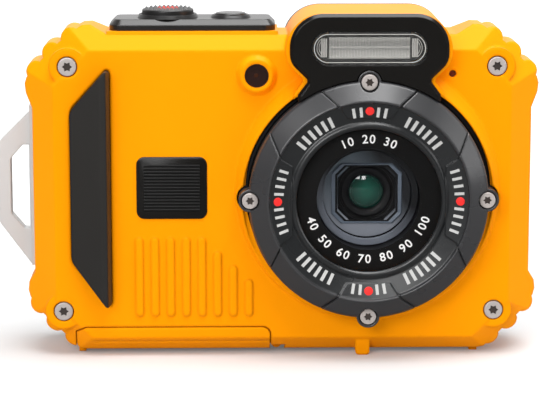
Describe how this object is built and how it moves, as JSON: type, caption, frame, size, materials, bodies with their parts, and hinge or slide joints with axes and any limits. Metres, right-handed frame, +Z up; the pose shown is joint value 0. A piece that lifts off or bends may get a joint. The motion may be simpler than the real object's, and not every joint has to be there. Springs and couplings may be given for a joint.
{
  "type": "waterproof digital camera",
  "caption": "Compact waterproof digital camera with a raised flash hump, round bezel ring over the lens window, strap bar, grip pad, battery door and rear screen with keys.",
  "frame": {"origin": "centre of the bounding box at its lowest plane, where the camera stands", "axes": "X to the right seen from the front, Y to the rear (the lens looks toward -Y), Z up"},
  "size_m": [0.1095, 0.0318, 0.07],
  "materials": {
    "yellow_plastic": "satin, fine grain",
    "black_plastic": "matte",
    "dark_grey_plastic": "satin",
    "inner_plastic": "matte",
    "red_capped_plastic": "matte, toothed",
    "rubber_black": "matte",
    "seal_rubber": "matte",
    "steel": "brushed",
    "silver_metal": "satin",
    "bare_aluminium": "plain",
    "brass_insert": "turned",
    "clear_glass": "polished",
    "lens_glass": "polished, coated",
    "lamp_plastic": "clear tinted",
    "reflector_chrome": "polished",
    "board_green": "printed board",
    "display_black": "gloss",
    "battery_wrap": "wrapped cell"
  },
  "bodies": {
    "camera": {"front_shell": "yellow_plastic", "rear_shell": "black_plastic", "housing_seal": "seal_rubber", "housing_screws": "steel", "inner_chassis": "bare_aluminium", "chassis_screws": "steel", "flash_fascia": "black_plastic", "bezel_ring": "dark_grey_plastic", "bezel_screws": "steel", "lens_window": "clear_glass", "lens_window_seal": "seal_rubber", "lens_mask": "black_plastic", "lens_tube": "inner_plastic", "rear_lens": "lens_glass", "image_sensor": "display_black", "zoom_motor": "silver_metal", "flash_window": "clear_glass", "flash_reflector": "reflector_chrome", "flash_tube": "clear_glass", "flash_capacitor": "battery_wrap", "assist_lamp_lens": "lamp_plastic", "assist_lamp_led": "lamp_plastic", "microphone": "black_plastic", "grip_pad": "rubber_black", "top_plate": "black_plastic", "button_collars": "black_plastic", "button_springs": "steel", "stem_seals": "seal_rubber", "button_board": "board_green", "strap_bar": "silver_metal", "strap_bar_screws": "steel", "door_hinge_pin": "steel", "battery_box": "inner_plastic", "battery": "battery_wrap", "card_socket": "silver_metal", "memory_card": "black_plastic", "usb_socket": "silver_metal", "tripod_socket": "brass_insert", "main_board": "board_green", "screen_window": "clear_glass", "screen_module": "display_black", "key_board": "board_green", "indicator_lamp": "lamp_plastic", "speaker": "display_black"},
    "shutter_button": {"shutter_button": "black_plastic"},
    "power_button": {"power_button": "black_plastic"},
    "battery_door": {"battery_door": "yellow_plastic", "door_seal": "seal_rubber"},
    "door_latch": {"door_latch": "black_plastic"},
    "cam_ring": {"cam_ring": "inner_plastic"},
    "zoom_barrel": {"zoom_barrel": "dark_grey_plastic"},
    "inner_barrel": {"inner_barrel": "black_plastic", "front_lens": "lens_glass"},
    "zoom_rocker": {"zoom_rocker": "dark_grey_plastic"},
    "record_button": {"record_button": "red_capped_plastic"},
    "menu_button": {"menu_button": "dark_grey_plastic"},
    "playback_button": {"playback_button": "dark_grey_plastic"},
    "ok_button": {"ok_button": "dark_grey_plastic"},
    "nav_gimbal": {"nav_gimbal": "inner_plastic"},
    "nav_pad": {"nav_pad": "dark_grey_plastic"}
  },
  "joints": [
    {"name": "shutter_press", "type": "slide", "parent": "camera", "child": "shutter_button", "axis": [0, 0, -1], "range_m": [0, 0.0007], "stiffness_N_per_m": 1500},
    {"name": "power_press", "type": "slide", "parent": "camera", "child": "power_button", "axis": [0, 0, -1], "range_m": [0, 0.0005], "stiffness_N_per_m": 2000},
    {"name": "door_hinge", "type": "hinge", "parent": "camera", "child": "battery_door", "pos_m": [0.0015, -0.0005, 0.0019], "axis": [0, 1, 0], "range_deg": [-95, 0]},
    {"name": "latch_slide", "type": "slide", "parent": "battery_door", "child": "door_latch", "axis": [-1, 0, 0], "range_m": [0, 0.0011]},
    {"name": "cam_turn", "type": "hinge", "parent": "camera", "child": "cam_ring", "pos_m": [0.01975, 0, 0.03295], "axis": [0, -1, 0], "range_deg": [0, 90]},
    {"name": "zoom_slide", "type": "slide", "parent": "camera", "child": "zoom_barrel", "axis": [0, -1, 0], "range_m": [0, 0.005]},
    {"name": "inner_slide", "type": "slide", "parent": "zoom_barrel", "child": "inner_barrel", "axis": [0, 1, 0], "range_m": [0, 0.0025]},
    {"name": "rocker_tilt", "type": "hinge", "parent": "camera", "child": "zoom_rocker", "pos_m": [-0.0323, 0.012, 0.054], "axis": [0, 0, 1], "range_deg": [-4, 4], "stiffness_Nm_per_rad": 0.15},
    {"name": "record_press", "type": "slide", "parent": "camera", "child": "record_button", "axis": [0, -1, 0], "range_m": [0, 0.0005], "stiffness_N_per_m": 2000},
    {"name": "menu_press", "type": "slide", "parent": "camera", "child": "menu_button", "axis": [0, -1, 0], "range_m": [0, 0.0005], "stiffness_N_per_m": 2000},
    {"name": "playback_press", "type": "slide", "parent": "camera", "child": "playback_button", "axis": [0, -1, 0], "range_m": [0, 0.0005], "stiffness_N_per_m": 2000},
    {"name": "ok_press", "type": "slide", "parent": "camera", "child": "ok_button", "axis": [0, -1, 0], "range_m": [0, 0.0005], "stiffness_N_per_m": 2000},
    {"name": "nav_tilt_up_down", "type": "hinge", "parent": "camera", "child": "nav_gimbal", "pos_m": [-0.0285, 0.0134, 0.033], "axis": [1, 0, 0], "range_deg": [-3, 3], "stiffness_Nm_per_rad": 0.15},
    {"name": "nav_tilt_left_right", "type": "hinge", "parent": "nav_gimbal", "child": "nav_pad", "pos_m": [-0.0285, 0.0134, 0.033], "axis": [0, 0, 1], "range_deg": [-3, 3], "stiffness_Nm_per_rad": 0.15}
  ],
  "couplings": [
    {"joint": "zoom_slide", "follows": "cam_turn", "m_per_rad": 0.0031831},
    {"joint": "inner_slide", "follows": "cam_turn", "m_per_rad": 0.0015915}
  ]
}
